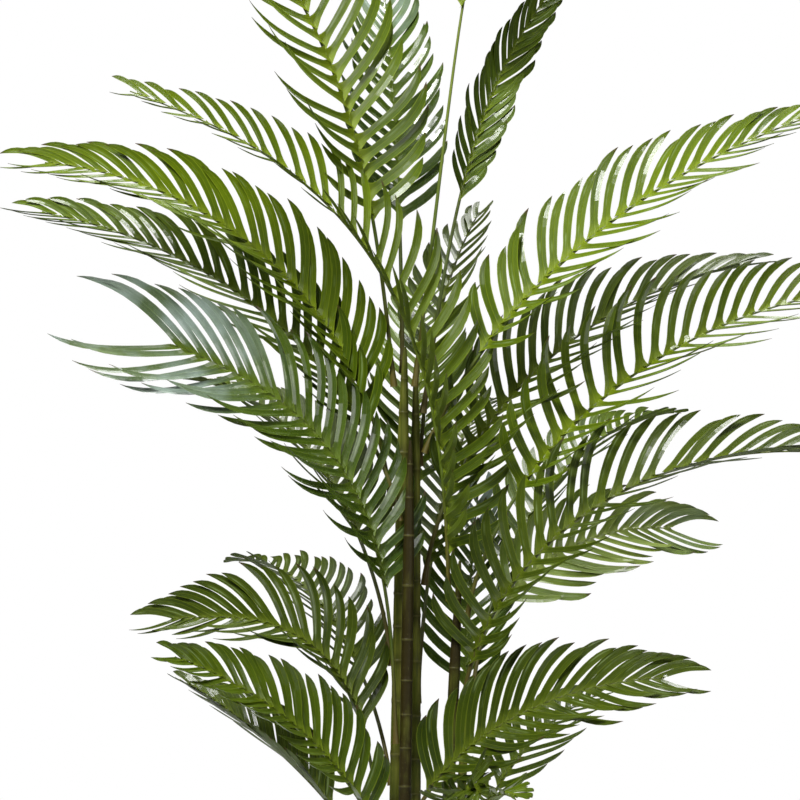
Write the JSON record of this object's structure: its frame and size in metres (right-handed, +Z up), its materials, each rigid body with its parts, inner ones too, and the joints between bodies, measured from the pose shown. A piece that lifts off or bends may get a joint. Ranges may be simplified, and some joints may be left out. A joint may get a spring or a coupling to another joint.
{
  "type": "potted palm",
  "caption": "Areca palm in a plain tapered pot: ringed canes in soil with arching feather-shaped fronds.",
  "frame": {"origin": "centre of the pot's flat underside, on the floor", "axes": "+Z up along the canes; +X to the right and +Y to the back of the plant as it is usually shown"},
  "size_m": [1.3923, 0.9565, 2.0402],
  "materials": {
    "leaf_bright": "satin waxy leaf, yellow green",
    "leaf_mid": "satin waxy leaf, middle green",
    "leaf_dark": "satin waxy leaf, dark green",
    "leaf_blue": "glossy waxy leaf, blue green",
    "leaf_pale": "satin leaf seen from its paler underside",
    "cane": "smooth green cane with pale leaf scars",
    "soil": "rough damp potting mix of peat and bark",
    "pot": "matte unglazed stoneware"
  },
  "bodies": {
    "root": {"pot": "pot", "soil": "soil", "cane_a": "cane", "cane_b": "cane", "cane_c": "cane", "cane_d": "cane", "cane_e": "cane", "frond_crown_left": "leaf_bright", "frond_crown_back": "leaf_blue", "frond_crown_tall": "leaf_bright", "frond_crown_right": "leaf_mid", "frond_front_left": "leaf_bright", "frond_left_upper": "leaf_bright", "frond_left_middle": "leaf_mid", "frond_left_glossy": "leaf_blue", "frond_left_low": "leaf_dark", "frond_left_low_front": "leaf_mid", "frond_left_lowest": "leaf_dark", "frond_right_low": "leaf_dark", "frond_right_light": "leaf_pale", "frond_right_large": "leaf_dark", "frond_right_glossy": "leaf_bright", "frond_right_middle": "leaf_dark", "frond_right_upper": "leaf_bright", "frond_back_short": "leaf_dark", "frond_back_low": "leaf_blue", "frond_back_lowest": "leaf_mid", "frond_rear_high": "leaf_mid", "frond_rear_left": "leaf_dark", "frond_rear_centre": "leaf_dark", "frond_rear_right": "leaf_mid", "frond_rear_low": "leaf_dark", "frond_front_right": "leaf_mid", "frond_front_low": "leaf_mid"}
  },
  "joints": []
}
